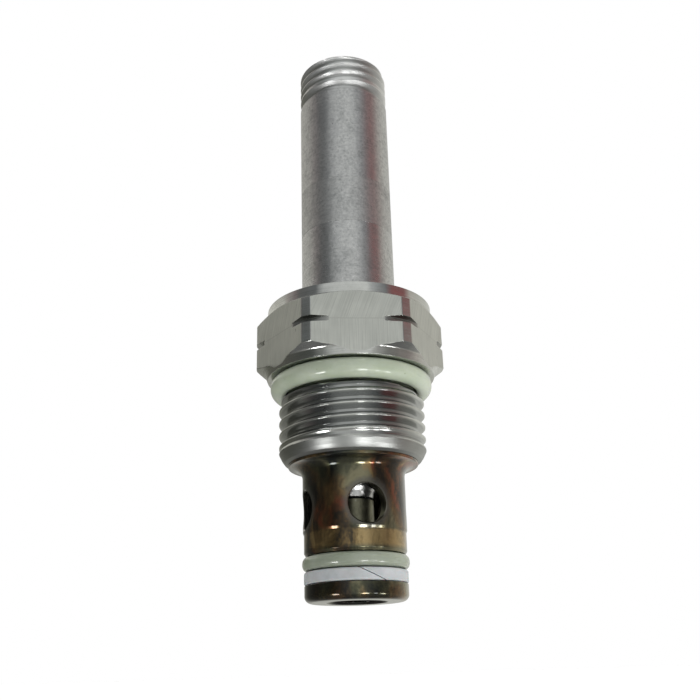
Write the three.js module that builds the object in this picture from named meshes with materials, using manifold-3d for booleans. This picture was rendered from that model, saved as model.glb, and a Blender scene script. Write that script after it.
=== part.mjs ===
// Screw-in cartridge valve, solenoid operated, two-way, normally closed, pilot-operated poppet.
// Everything is turned about +Z. The nose stands on z = 0 and the coil tube points up. Millimetres.
import * as THREE from 'three';
import { mergeVertices } from 'three/addons/utils/BufferGeometryUtils.js';
import Module from 'manifold-3d';

const wasm = await Module();
wasm.setup();

// ---- driving dimensions -------------------------------------------------------------------------
const INCH = 25.4;
const SIDES = 36; // facets round the large turned parts
const INNER_SIDES = 24; // facets round the hidden small parts
const FIT = 0.05; // clearance between parts that touch

// Heights above the nose face.
const NOSE_CHAMFER = 0.7;
const SEAL_GROOVE = [2.0, 5.52];
const NOSE_LIP_EDGE = 5.87;
const WINDOW_BAND = [8.25, 15.1];
const FLANGE = [16.6, 16.93];
const CROSS_HOLE = 11.07;
const SEAT = 8.0;
const CAGE_TOP = 24.0;
const ADAPTER_FOOT = 16.95;
const THREAD_START = 18.4;
const THREAD_END = 24.9;
const THREAD_RUNOUT = 0.9;
const RIM = 28.2;
const RING_RECESS = 0.05; // the face above the O-ring, sunk into the rim
const HEX_WASHER_FACE = [28.6, 29.25];
const HEX_STRIP = [29.8, 35.7];
const HEX_GROOVE = [32.35, 33.2];
const COLLAR = [36.5, 37.8];
const TUBE_FOOT = 25.2;
const TUBE_FLANGE_TOP = 27.0;
const BRAZE = [48.97, 55.77];
const AIR_GAP = [52.15, 53.75];
const SHOULDER = 70.45;
const TOP_THREAD = [71.4, 75.7];
const TOP = 76.3;

// Radii.
const TUBE_R = INCH / 4;
const TUBE_BORE = 5.15;
const BODY_THREAD = { pitch: INCH / 16, crest: 9.47, root: 8.56, phase: 0.5 };
const COIL_THREAD = { pitch: INCH / 20, crest: 6.33, root: 5.6, phase: 0 };
const HEX_APOTHEM = (7 / 16) * INCH;
const HEX_CORNER = 12.45;
const HEX_GROOVE_R = 11.65;
const HEX_TURN = THREE.MathUtils.degToRad(4.9);
const COLLAR_R = 11.0;
const RIM_INNER = 10.65;
const NECK_R = 8.35;
const NOSE_FACE_R = 5.75; // outer edge of the flat nose face
const LAND_R = 6.38;
const WINDOW_BAND_R = 6.5;
const FLANGE_R = 8.3;
const SOCKET_R = 6.95; // the cage's upper spigot, in the adapter's socket
const SEAL_FLOOR = 4.78;
const NOSE_BORE = 3.5;
const SEAT_R = 2.2;
const CHAMBER_R = 4.45;
const CROSS_HOLE_R = 2.38;
const CROSS_HOLE_TURN = THREE.MathUtils.degToRad(15);
// The adapter's rounded foot, as [radius, height above ADAPTER_FOOT].
const FOOT_EDGE = [
  [8.35, 0],
  [8.75, 0.25],
  [9.1, 0.7],
];

// Grooves inside the body and the pieces that sit in them.
const TUBE_SEAL_GROOVE = { floor: 7.35, from: 29.0, to: 30.0 };
const LOCK_GROOVE = { inner: 6.55, outer: 7.45, from: 22.45, to: 23.35 };
const CAGE_SEAL_GROOVE = { floor: 5.95, from: 19.9, to: 21.1 };
const LOCK_RING = { radius: 7.01, wire: 0.38, opening: 2.2, height: 22.9 };
const RETAINER = { bore: 2.7, thickness: 1.1 };
const SHIM = { bore: 2.4, outer: 4.9, thickness: 0.2 };
const SPRING_POCKET_R = 2.3;
const POLE_POCKET_TOP = 66.0;

// Seals: radius of the ring's centre line, radius of its section, height of its centre.
const ADAPTER_O_RING = { radius: 9.5, section: 1.1, height: RIM - 1.1 };
const NOSE_O_RING = { radius: 5.73, section: 0.89, height: 4.58 };
const CAGE_SEAL = { radius: 6.48, section: 0.47, height: 20.5 };
const TUBE_SEAL = { radius: 6.83, section: 0.45, height: 29.5 };
const BACKUP_RING = { foot: SEAL_GROOVE[0] + 0.08, height: 1.52, joint: 0.12 };
const BACKUP_JOINT = { across: 1.9, slant: THREE.MathUtils.degToRad(25) };

// Moving parts.
const ARMATURE = { foot: 27.2, pocket: 47.2 };
const OIL_SLOT = { depth: 1.2, width: 1.6, length: 30, middle: 40 };
const PIN = { radius: 1.0, tipRadius: 0.45, tip: 21.42, taper: 0.85, top: 34.0 };
const CROSS_PIN = { height: 31.0, radius: 0.56, length: 9.6, holeRadius: 0.62 };
const POPPET = { foot: SEAT - 0.53, top: 21.2, pocket: 18.2, radius: CHAMBER_R - FIT, landRadius: 2.44 };
const POPPET_GROOVE = { from: 12.25, to: 12.55, radius: 2.1 };
const INSERT = { radius: 1.5, foot: 18.6, orifice: 0.5 };

// Springs: radius of the coil's centre line, radius of the wire, free height as fitted, turns, foot.
const RETURN_SPRING = { radius: 1.75, wire: 0.35, length: 18.6, turns: 9, foot: 47.3 };
const POPPET_SPRING = { radius: 2.95, wire: 0.28, length: 5.7, turns: 4, foot: POPPET.pocket + FIT };

// ---- shape helpers ------------------------------------------------------------------------------

// Turns a closed outline of [radius, height] points about Z. It runs anticlockwise, seen with the axis
// on the left. It either starts and ends on the axis or is closed here to its first point.
function turned(outline, sides = SIDES) {
  const points = outline.map(([r, z]) => new THREE.Vector2(r, z));
  const onAxis = outline[0][0] === 0 && outline[outline.length - 1][0] === 0;
  if (!onAxis) points.push(points[0].clone());
  return new THREE.LatheGeometry(points, sides).rotateX(Math.PI / 2);
}

// A closed solid for joining and cutting: shared vertices merged, collapsed triangles dropped.
function solid(geometry) {
  const bare = geometry.clone();
  bare.deleteAttribute('normal');
  bare.deleteAttribute('uv');
  const merged = mergeVertices(bare, 1e-5);
  const triVerts = [];
  const index = merged.index.array;
  for (let i = 0; i < index.length; i += 3) {
    const [a, b, c] = [index[i], index[i + 1], index[i + 2]];
    if (a !== b && b !== c && c !== a) triVerts.push(a, b, c);
  }
  const vertProperties = new Float32Array(merged.attributes.position.array);
  return new wasm.Manifold(
    new wasm.Mesh({ numProp: 3, vertProperties, triVerts: new Uint32Array(triVerts) }),
  );
}

function toGeometry(manifold) {
  const { vertProperties, triVerts } = manifold.getMesh();
  const geometry = new THREE.BufferGeometry();
  geometry.setAttribute('position', new THREE.BufferAttribute(vertProperties, 3));
  geometry.setIndex(new THREE.BufferAttribute(triVerts, 1));
  geometry.computeVertexNormals();
  return geometry;
}

function cut(geometry, cutters) {
  let body = solid(geometry);
  for (const cutter of cutters) body = body.subtract(solid(cutter));
  return toGeometry(body);
}

// Heights from low to high, no further apart than step, with both ends.
function rows(low, high, step) {
  const count = Math.ceil((high - low) / step);
  return Array.from({ length: count + 1 }, (_, i) => low + ((high - low) * i) / count);
}

// Presses a right-hand V thread into the plain band of a turned part. Its depth fades in and out over
// half a pitch at each end of the band.
function cutThread(geometry, thread, [low, high]) {
  const position = geometry.attributes.position;
  for (let i = 0; i < position.count; i += 1) {
    const x = position.getX(i);
    const y = position.getY(i);
    const z = position.getZ(i);
    const r = Math.hypot(x, y);
    const onBand = Math.abs(r - thread.crest) < 0.01 && z > low - 0.01 && z < high + 0.01;
    if (!onBand) continue;
    const turn = z / thread.pitch - Math.atan2(y, x) / (2 * Math.PI) + thread.phase;
    const flank = Math.abs(2 * (turn - Math.floor(turn)) - 1);
    const fade = Math.min(1, (z - low) / (thread.pitch / 2), (high - z) / (thread.pitch / 2));
    const depth = (thread.crest - thread.root) * (1 - flank) * Math.max(0, fade);
    position.setX(i, (x * (r - depth)) / r);
    position.setY(i, (y * (r - depth)) / r);
  }
  return geometry;
}

// The centre line of a compression spring with a closed coil at each end.
class SpringLine extends THREE.Curve {
  constructor(radius, length, turns) {
    super();
    Object.assign(this, { radius, length, turns });
    this.closedCoils = 0.35 * radius; // keeps the closed coils from lying in each other
  }

  getPoint(t, target = new THREE.Vector3()) {
    const angle = 2 * Math.PI * this.turns * t;
    const rise = THREE.MathUtils.clamp((t * this.turns - 0.9) / (this.turns - 1.8), 0, 1);
    const z = rise * (this.length - this.closedCoils) + t * this.closedCoils;
    return target.set(this.radius * Math.cos(angle), this.radius * Math.sin(angle), z);
  }
}

function spring({ radius, wire, length, turns }) {
  const section = new THREE.Shape();
  section.absarc(0, 0, wire, 0, 2 * Math.PI, false);
  return new THREE.ExtrudeGeometry(section, {
    curveSegments: 3,
    steps: turns * 10,
    extrudePath: new SpringLine(radius, length - 2 * wire, turns),
  }).translate(0, 0, wire);
}

function washer(bore, outer, thickness) {
  const outline = [
    [bore, 0],
    [outer, 0],
    [outer, thickness],
    [bore, thickness],
  ];
  return turned(outline, INNER_SIDES);
}

function piece(name, geometry, finish, height = 0) {
  const mesh = new THREE.Mesh(geometry, new THREE.MeshStandardMaterial(finish));
  mesh.name = name;
  mesh.position.z = height;
  return mesh;
}

// ---- finishes -----------------------------------------------------------------------------------
const ZINC = { color: 0xa3a59d, roughness: 0.42, metalness: 1 };
const TUBE_STEEL = { color: 0xa2a4a2, roughness: 0.38, metalness: 1 };
const TEMPERED = { color: 0x3a2a1c, roughness: 0.25, metalness: 0.9 };
const GROUND = { color: 0xb9b9b4, roughness: 0.22, metalness: 1 };
const SPRING_STEEL = { color: 0x77777a, roughness: 0.35, metalness: 1 };
const BRONZE = { color: 0xa77b45, roughness: 0.35, metalness: 1 };
const SEAL = { color: 0xa9bda6, roughness: 0.35, metalness: 0 };
const PTFE = { color: 0xe6e8f2, roughness: 0.5, metalness: 0 };

// ---- body ---------------------------------------------------------------------------------------

// Hexagon body with the cavity thread outside and the socket for tube and cage inside.
function hexAdapter() {
  const socket = SOCKET_R + 0.07;
  const tubeHole = TUBE_R + FIT;
  const outline = [
    [socket, ADAPTER_FOOT],
    ...FOOT_EDGE.map(([r, z]) => [r, ADAPTER_FOOT + z]),
    [BODY_THREAD.crest, THREAD_START],
    ...rows(THREAD_START, THREAD_END, BODY_THREAD.pitch / 4)
      .slice(1, -1)
      .map((z) => [BODY_THREAD.crest, z]),
    [BODY_THREAD.crest, THREAD_END],
    [NECK_R, THREAD_END + THREAD_RUNOUT],
    [NECK_R, RIM + RING_RECESS],
    [RIM_INNER, RIM + RING_RECESS],
    [RIM_INNER, RIM],
    [COLLAR_R, RIM],
    [COLLAR_R + 0.15, HEX_WASHER_FACE[0]],
    [COLLAR_R + 0.35, HEX_WASHER_FACE[1]],
    [HEX_CORNER, HEX_STRIP[0]],
    [HEX_CORNER, HEX_GROOVE[0]],
    [HEX_GROOVE_R, HEX_GROOVE[0] + 0.12],
    [HEX_GROOVE_R, HEX_GROOVE[1] - 0.12],
    [HEX_CORNER, HEX_GROOVE[1]],
    [HEX_CORNER, HEX_STRIP[1]],
    [COLLAR_R, COLLAR[0]],
    [COLLAR_R, COLLAR[1] - 0.2],
    [COLLAR_R - 0.2, COLLAR[1]],
    [tubeHole, COLLAR[1]],
    [tubeHole, TUBE_SEAL_GROOVE.to],
    [TUBE_SEAL_GROOVE.floor, TUBE_SEAL_GROOVE.to],
    [TUBE_SEAL_GROOVE.floor, TUBE_SEAL_GROOVE.from],
    [tubeHole, TUBE_SEAL_GROOVE.from],
    [tubeHole, TUBE_FLANGE_TOP + 0.1],
    [socket, TUBE_FLANGE_TOP + 0.1],
    [socket, LOCK_GROOVE.to],
    [LOCK_GROOVE.outer, LOCK_GROOVE.to],
    [LOCK_GROOVE.outer, LOCK_GROOVE.from],
    [socket, LOCK_GROOVE.from],
  ];
  const blank = cutThread(turned(outline), BODY_THREAD, [THREAD_START, THREAD_END]);
  const hexagon = new THREE.Shape();
  for (let corner = 0; corner < 6; corner += 1) {
    const angle = (corner * Math.PI) / 3 + HEX_TURN;
    const radius = HEX_APOTHEM / Math.cos(Math.PI / 6);
    hexagon[corner ? 'lineTo' : 'moveTo'](radius * Math.cos(angle), radius * Math.sin(angle));
  }
  const prism = new THREE.ExtrudeGeometry(hexagon, { depth: TOP, bevelEnabled: false });
  return toGeometry(solid(blank).intersect(solid(prism)));
}

// The hollow fillet that widens the window band to the flange below the adapter.
function flareToFlange() {
  const radius = FLANGE[0] - WINDOW_BAND[1];
  return [0, 1, 2, 3].map((step) => {
    const angle = (step * Math.PI) / 6;
    const r = WINDOW_BAND_R + radius * (1 - Math.cos(angle));
    return [r, WINDOW_BAND[1] + radius * Math.sin(angle)];
  });
}

// Nose sleeve: nose port, poppet seat, four cross holes and the groove of the nose seals. Its flange
// stops against the adapter's foot.
function cage() {
  const outline = [
    [NOSE_BORE + 0.3, 0],
    [NOSE_FACE_R, 0],
    [LAND_R, NOSE_CHAMFER],
    [LAND_R, SEAL_GROOVE[0]],
    [SEAL_FLOOR, SEAL_GROOVE[0]],
    [SEAL_FLOOR, SEAL_GROOVE[1]],
    [LAND_R - 0.2, SEAL_GROOVE[1]],
    [LAND_R, NOSE_LIP_EDGE],
    [LAND_R, WINDOW_BAND[0] - 0.06],
    [WINDOW_BAND_R, WINDOW_BAND[0] + 0.06],
    ...flareToFlange(),
    [FLANGE_R, FLANGE[0]],
    [FLANGE_R, FLANGE[1]],
    [SOCKET_R, FLANGE[1]],
    [SOCKET_R, CAGE_SEAL_GROOVE.from],
    [CAGE_SEAL_GROOVE.floor, CAGE_SEAL_GROOVE.from],
    [CAGE_SEAL_GROOVE.floor, CAGE_SEAL_GROOVE.to],
    [SOCKET_R, CAGE_SEAL_GROOVE.to],
    [SOCKET_R, LOCK_GROOVE.from],
    [LOCK_GROOVE.inner, LOCK_GROOVE.from],
    [LOCK_GROOVE.inner, LOCK_GROOVE.to],
    [SOCKET_R, LOCK_GROOVE.to],
    [SOCKET_R - 0.2, CAGE_TOP],
    [CHAMBER_R, CAGE_TOP],
    [CHAMBER_R, SEAT + 0.5],
    [SEAT_R + 0.4, SEAT + 0.4],
    [SEAT_R, SEAT],
    [SEAT_R, SEAT - 0.8],
    [NOSE_BORE, SEAT - 1.4],
    [NOSE_BORE, 0.3],
  ];
  const drills = [0, 1].map((quarter) =>
    new THREE.CylinderGeometry(CROSS_HOLE_R, CROSS_HOLE_R, 4 * LAND_R, 20)
      .rotateZ((quarter * Math.PI) / 2)
      .rotateZ(CROSS_HOLE_TURN)
      .translate(0, 0, CROSS_HOLE),
  );
  return cut(turned(outline), drills);
}

// Round wire ring, open at one side, that locks the cage in the adapter.
function cageLockRing() {
  const ring = new THREE.TorusGeometry(LOCK_RING.radius, LOCK_RING.wire, 6, INNER_SIDES);
  const opening = new THREE.BoxGeometry(3, LOCK_RING.opening, 2).translate(LOCK_RING.radius, 0, 0);
  return cut(ring, [opening]);
}

// Washer clamped between the cage and the tube. The poppet spring pushes up against it.
function springRetainer() {
  return washer(RETAINER.bore, SOCKET_R - FIT, RETAINER.thickness);
}

// ---- coil tube ----------------------------------------------------------------------------------

function guideTube() {
  return turned([
    [TUBE_BORE, TUBE_FOOT],
    [SOCKET_R - FIT, TUBE_FOOT],
    [SOCKET_R - FIT, TUBE_FLANGE_TOP],
    [TUBE_R - 0.05, TUBE_FLANGE_TOP],
    [TUBE_R - 0.05, COLLAR[1] + 0.4],
    [TUBE_R, COLLAR[1] + 0.6],
    [TUBE_R, BRAZE[0]],
    [TUBE_BORE, BRAZE[0]],
  ]);
}

function nonmagneticRing() {
  const length = BRAZE[1] - BRAZE[0];
  return turned([
    [TUBE_BORE, 0.02],
    [TUBE_R, 0.02],
    [TUBE_R, length - 0.02],
    [TUBE_BORE, length - 0.02],
  ]);
}

// Fixed core: closes the tube, holds the return spring and carries the coil nut's thread on top.
function polePiece() {
  const bottom = AIR_GAP[1] + SHIM.thickness + FIT;
  const outline = [
    [0, POLE_POCKET_TOP + 0.5],
    [SPRING_POCKET_R, POLE_POCKET_TOP],
    [SPRING_POCKET_R, bottom],
    [TUBE_BORE - FIT, bottom],
    [TUBE_BORE - FIT, BRAZE[1]],
    [TUBE_R, BRAZE[1]],
    [TUBE_R, SHOULDER - 0.25],
    [TUBE_R - 0.25, SHOULDER],
    [COIL_THREAD.root, SHOULDER + 0.25],
    [COIL_THREAD.root, TOP_THREAD[0] - 0.2],
    ...rows(...TOP_THREAD, COIL_THREAD.pitch / 4).map((z) => [COIL_THREAD.crest, z]),
    [5.75, TOP],
    [1.0, TOP],
    [0, TOP - 0.9],
  ];
  return cutThread(turned(outline), COIL_THREAD, TOP_THREAD);
}

function residualShim() {
  return washer(SHIM.bore, SHIM.outer, SHIM.thickness);
}

// ---- moving parts -------------------------------------------------------------------------------

// A drill across the armature and the pilot pin, in which the cross pin sits.
function crossPinDrill(length) {
  return new THREE.CylinderGeometry(CROSS_PIN.holeRadius, CROSS_PIN.holeRadius, length, 12)
    .rotateZ(Math.PI / 2)
    .translate(0, 0, CROSS_PIN.height);
}

// Plunger with the pilot pin's bore below, the return spring's pocket above and two oil slots.
function armature() {
  const radius = TUBE_BORE - 0.1;
  const outline = [
    [0, PIN.top + 0.6],
    [PIN.radius + FIT, PIN.top + 0.1],
    [PIN.radius + FIT, ARMATURE.foot],
    [radius - 0.4, ARMATURE.foot],
    [radius, ARMATURE.foot + 0.4],
    [radius, AIR_GAP[0] - 0.3],
    [radius - 0.3, AIR_GAP[0]],
    [SPRING_POCKET_R, AIR_GAP[0]],
    [SPRING_POCKET_R, ARMATURE.pocket],
    [0, ARMATURE.pocket - 0.6],
  ];
  const slot = new THREE.BoxGeometry(OIL_SLOT.depth, OIL_SLOT.width, OIL_SLOT.length);
  const slots = [1, -1].map((side) => slot.clone().translate(0, side * radius, OIL_SLOT.middle));
  return cut(turned(outline, INNER_SIDES), [...slots, crossPinDrill(4 * radius)]);
}

function pilotPin() {
  const shank = turned(
    [
      [0, PIN.tip],
      [PIN.tipRadius, PIN.tip + 0.05],
      [PIN.radius, PIN.tip + PIN.taper],
      [PIN.radius, PIN.top],
      [0, PIN.top],
    ],
    INNER_SIDES,
  );
  return cut(shank, [crossPinDrill(4 * PIN.radius)]);
}

// Holds the pilot pin in the armature.
function armatureCrossPin() {
  const { radius, length } = CROSS_PIN;
  return new THREE.CylinderGeometry(radius, radius, length, 12).rotateZ(Math.PI / 2);
}

// Main poppet: seat cone and land at the cross holes, flaring above them to the guide in the cage bore,
// and a pocket round the pilot seat for the light spring.
function mainPoppet() {
  const sleeve = INSERT.radius + 0.03;
  return turned(
    [
      [0.9, POPPET.foot],
      [1.6, POPPET.foot],
      [POPPET.landRadius, SEAT + 0.31],
      [POPPET.landRadius, POPPET_GROOVE.from],
      [POPPET_GROOVE.radius, POPPET_GROOVE.from],
      [POPPET_GROOVE.radius, POPPET_GROOVE.to],
      [POPPET.landRadius - 0.04, POPPET_GROOVE.to],
      [2.55, 13.3],
      [2.95, 14.2],
      [3.65, 15.0],
      [POPPET.radius, 15.5],
      [POPPET.radius, POPPET.top],
      [3.85, POPPET.top],
      [3.85, POPPET.pocket],
      [2.05, POPPET.pocket],
      [2.05, POPPET.top],
      [sleeve, POPPET.top],
      [sleeve, INSERT.foot - 0.03],
      [0.9, INSERT.foot - 0.03],
    ],
    INNER_SIDES,
  );
}

// Hardened insert with the pilot orifice and the small seat that the pin closes.
function pilotSeat() {
  return turned(
    [
      [INSERT.orifice, INSERT.foot],
      [INSERT.radius, INSERT.foot],
      [INSERT.radius, POPPET.top + 0.15],
      [INSERT.radius - 0.25, POPPET.top + 0.4],
      [INSERT.orifice + 0.22, POPPET.top + 0.4],
      [INSERT.orifice, POPPET.top + 0.1],
    ],
    INNER_SIDES,
  );
}

// ---- seals --------------------------------------------------------------------------------------

function oRing({ radius, section }) {
  return new THREE.TorusGeometry(radius, section, 8, SIDES);
}

// An O-ring inside the valve, with fewer facets.
function innerSeal({ radius, section }) {
  return new THREE.TorusGeometry(radius, section, 6, INNER_SIDES);
}

// Spiral-cut backup ring, with the slanting joint at the front.
function backupRing() {
  const { height, joint } = BACKUP_RING;
  const ring = turned([
    [SEAL_FLOOR + 0.07, 0],
    [LAND_R + 0.03, 0],
    [LAND_R + 0.03, height],
    [SEAL_FLOOR + 0.07, height],
  ]);
  const slant = new THREE.BoxGeometry(5.6, 3, joint)
    .rotateY(BACKUP_JOINT.slant)
    .translate(BACKUP_JOINT.across, 0.5 - LAND_R, height / 2);
  return cut(ring, [slant]);
}

// ---- assembly -----------------------------------------------------------------------------------
const valve = new THREE.Group();
const moving = new THREE.Group();
const armatureGroup = new THREE.Group();
const poppetGroup = new THREE.Group();

valve.add(
  piece('hex_adapter', hexAdapter(), ZINC),
  piece('cage', cage(), TEMPERED),
  piece('cage_lock_ring', cageLockRing(), SPRING_STEEL, LOCK_RING.height),
  piece('cage_seal', innerSeal(CAGE_SEAL), SEAL, CAGE_SEAL.height),
  piece('spring_retainer', springRetainer(), GROUND, CAGE_TOP + FIT),
  piece('poppet_spring', spring(POPPET_SPRING), SPRING_STEEL, POPPET_SPRING.foot),
  piece('guide_tube', guideTube(), TUBE_STEEL),
  piece('tube_seal', innerSeal(TUBE_SEAL), SEAL, TUBE_SEAL.height),
  piece('nonmagnetic_ring', nonmagneticRing(), TUBE_STEEL, BRAZE[0]),
  piece('pole_piece', polePiece(), TUBE_STEEL),
  piece('residual_shim', residualShim(), BRONZE, AIR_GAP[1]),
  piece('return_spring', spring(RETURN_SPRING), SPRING_STEEL, RETURN_SPRING.foot),
  piece('adapter_o_ring', oRing(ADAPTER_O_RING), SEAL, ADAPTER_O_RING.height),
  piece('nose_o_ring', oRing(NOSE_O_RING), SEAL, NOSE_O_RING.height),
  piece('nose_backup_ring', backupRing(), PTFE, BACKUP_RING.foot),
);
armatureGroup.add(
  piece('armature', armature(), GROUND),
  piece('pilot_pin', pilotPin(), GROUND),
  piece('armature_cross_pin', armatureCrossPin(), SPRING_STEEL, CROSS_PIN.height),
);
poppetGroup.add(
  piece('main_poppet', mainPoppet(), GROUND),
  piece('pilot_seat', pilotSeat(), BRONZE),
);
moving.add(armatureGroup, poppetGroup);
valve.add(moving);

export default valve;
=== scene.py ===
"""Looks of the screw-in cartridge valve: fine meshes, procedural materials, room, lights and camera."""
import math

import bmesh
import bpy
import numpy as np
from mathutils import Matrix, Vector


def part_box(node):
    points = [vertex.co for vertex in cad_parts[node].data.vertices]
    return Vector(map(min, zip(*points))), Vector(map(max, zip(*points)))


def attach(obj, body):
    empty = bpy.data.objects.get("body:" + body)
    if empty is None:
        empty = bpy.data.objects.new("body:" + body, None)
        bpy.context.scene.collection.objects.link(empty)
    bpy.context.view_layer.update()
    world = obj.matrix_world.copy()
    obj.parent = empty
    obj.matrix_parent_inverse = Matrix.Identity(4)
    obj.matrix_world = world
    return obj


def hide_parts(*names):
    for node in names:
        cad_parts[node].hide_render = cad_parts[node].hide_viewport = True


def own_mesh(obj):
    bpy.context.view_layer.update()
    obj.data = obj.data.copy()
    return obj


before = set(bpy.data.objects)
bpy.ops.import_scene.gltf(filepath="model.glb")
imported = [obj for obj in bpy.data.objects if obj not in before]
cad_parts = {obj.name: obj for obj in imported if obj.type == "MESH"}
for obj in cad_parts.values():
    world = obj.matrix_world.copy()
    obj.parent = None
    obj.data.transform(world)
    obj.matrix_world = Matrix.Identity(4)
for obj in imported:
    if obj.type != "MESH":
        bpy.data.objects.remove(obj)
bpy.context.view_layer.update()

MM = 0.001
TAU = 2 * math.pi
SIDES = 240
ARC_STEPS = 4
SHARP = 32  # degrees; edges that turn by more stay crisp


def station(node):
    """Lowest and highest height of a CAD node, in millimetres."""
    low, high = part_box(node)
    return low.z / MM, high.z / MM


def reach(node):
    """Largest radius of a CAD node about the valve's axis, in millimetres."""
    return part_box(node)[1].x / MM


# ---- sizes in millimetres; the heights of whole pieces come from the frame ---------------------
CAGE_TOP = station("cage")[1]
ADAPTER_FOOT, COLLAR_TOP = station("hex_adapter")
BACKUP = station("nose_backup_ring")
NOSE_RING = station("nose_o_ring")
NECK_RING = station("adapter_o_ring")
TUBE_FOOT = station("guide_tube")[0]
BRAZE = station("nonmagnetic_ring")
POLE = station("pole_piece")
POPPET = station("main_poppet")
INSERT = station("pilot_seat")
ARMATURE = station("armature")
PILOT_PIN = station("pilot_pin")
RETURN_SPRING = station("return_spring")
POPPET_SPRING = station("poppet_spring")
GAP = 0.05  # clearance between pieces that touch

# The cage, from the nose up.
NOSE_BORE = 3.5
NOSE_FACE_R = 5.58
LAND_R = 6.38
SEAL_FLOOR = 4.78
SEAL_LIP = NOSE_RING[1] + 0.4
SEAT = POPPET[0] + 0.53
SEAT_R = 2.2
CHAMBER_R = 4.45
WINDOW_BAND = (8.25, 15.1)
WINDOW_BAND_R = 6.5
CROSS_HOLE = 11.07
CROSS_HOLE_R = 2.38
CROSS_HOLE_TURN = math.radians(-75)  # the hole nearest the camera
LIT_AND_WARM_SIDE = math.radians(-65)  # where the tempering colours are warmest and the cage is painted lighter; the far side gets painted shade
FLANGE_FOOT = 16.6
FLANGE_R = reach("cage")
SOCKET_R = 6.95
CAGE_SEAL_GROOVE = {"low": 19.9, "high": 21.1, "floor": 5.95}
LOCK_GROOVE = {"low": 22.45, "high": 23.35, "inner": 6.55, "outer": 7.45}

# The adapter, from its foot up.
BORE_R = SOCKET_R + 0.07
FOOT_R = 8.35
CONE_R = 9.1
CONE_FOOT = ADAPTER_FOOT + 0.7
CONE_TOP = ADAPTER_FOOT + 1.45
NECK_R = 8.35
RIM = NECK_RING[1]
RIM_INNER = 10.65
HEX_STRIP = (29.8, 35.7)
HEX_GROOVE = (32.35, 33.2)
HEX_GROOVE_R = 11.65
HEX_APOTHEM = 11.1125
HEX_CORNER = 12.45
HEX_TURN = math.radians(4.9)
COLLAR_FOOT = 36.5
COLLAR_R = 11.0
TUBE_SEAL_GROOVE = {"low": 29.0, "high": 30.0, "floor": 7.35}

# The tube and its core.
TUBE_R = reach("nonmagnetic_ring")
TUBE_BORE = 5.15
TUBE_FLANGE = 27.0
SHOULDER = 70.45
POCKET_R = 2.3
POLE_POCKET = 66.0
ARMATURE_POCKET = 47.2

# Threads: start is a crest's height at azimuth 0 in pitches, and lead is the plain strip at the foot.
BODY_THREAD = {"pitch": 1.5875, "crest": 9.47, "root": 8.56, "start": 0.5, "lead": 0.75}
COIL_THREAD = {"pitch": 1.27, "crest": 6.33, "root": 5.6, "start": 0.0, "lead": 0.5}

# Small pieces inside.
POPPET_DRILL_R = 0.9
POPPET_LAND_R = 2.44
POPPET_GROOVE = (12.25, 12.55)
POPPET_GROOVE_R = 2.1
POPPET_POCKET = {"floor": 18.2, "inner": 2.05, "outer": 3.85}
INSERT_R = 1.5
ORIFICE_R = 0.5
PIN_R = 1.0
PIN_TIP_R = 0.45
CROSS_PIN = {"height": 31.0, "radius": 0.56, "length": 9.6, "hole": 0.62}
LOCK_RING = {"radius": 7.0, "half_width": 0.36, "opening": 2.2}
BACKUP_JOINT = {"across": 1.9, "slant": math.radians(25), "width": 0.09}
OIL_SLOT = {"depth": 1.2, "width": 1.6, "length": 30, "middle": 40}
RETURN_COIL = {"radius": 1.75, "wire": 0.35, "turns": 9}
POPPET_COIL = {"radius": 2.95, "wire": 0.28, "turns": 4}


# ---- mesh helpers ------------------------------------------------------------------------------
def rounded(outline, fillet, closed):
    """The outline with its corners as small arcs. A point is (r, z) or (r, z, its own fillet). A point
    just outside each arc keeps the shading of the straight parts even."""
    points = [Vector(p[:2]) for p in outline]
    sizes = [p[2] if len(p) > 2 else fillet for p in outline]
    result = []
    count = len(points)
    for i, corner in enumerate(points):
        if not closed and i in (0, count - 1):
            result.append(corner)
            continue
        before = points[i - 1] - corner
        after = points[(i + 1) % count] - corner
        turn = math.pi - before.angle(after)
        cut = sizes[i] * math.tan(turn / 2) if turn < 3.0 else 0
        cut = min(cut, 0.38 * before.length, 0.38 * after.length)
        if cut < 1e-4:
            result.append(corner)
            continue
        start = corner + before.normalized() * cut
        end = corner + after.normalized() * cut
        result.append(corner + before.normalized() * cut * 1.25)
        for k in range(ARC_STEPS + 1):
            t = k / ARC_STEPS
            result.append(start * (1 - t) ** 2 + corner * 2 * t * (1 - t) + end * t**2)
        result.append(corner + after.normalized() * cut * 1.25)
    return [(p.x, p.y) for p in result]


def divided(path, longest):
    """The same path with more points, none further apart than longest."""
    result = [path[0]]
    for (r0, z0), (r1, z1) in zip(path, path[1:]):
        count = max(1, math.ceil(math.hypot(r1 - r0, z1 - z0) / longest))
        result += [(r0 + (r1 - r0) * k / count, z0 + (z1 - z0) * k / count) for k in range(1, count + 1)]
    return result


def ring(r, z, angles):
    """One circle of points; r and z are numbers or arrays along the angles."""
    r = np.broadcast_to(r, angles.shape)
    z = np.broadcast_to(z, angles.shape)
    return np.stack([r * np.cos(angles), r * np.sin(angles), z], axis=1)


def wrap(bm, rings, closed):
    """Faces between rings of points. A ring at radius 0 becomes a pole when the doubles are merged."""
    rows = [[bm.verts.new(Vector(p) * MM) for p in points] for points in rings]
    pairs = list(zip(rows, rows[1:])) + ([(rows[-1], rows[0])] if closed else [])
    for low, high in pairs:
        for i in range(len(low)):
            j = (i + 1) % len(low)
            bm.faces.new((low[i], low[j], high[j], high[i]))
    return rows


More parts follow.
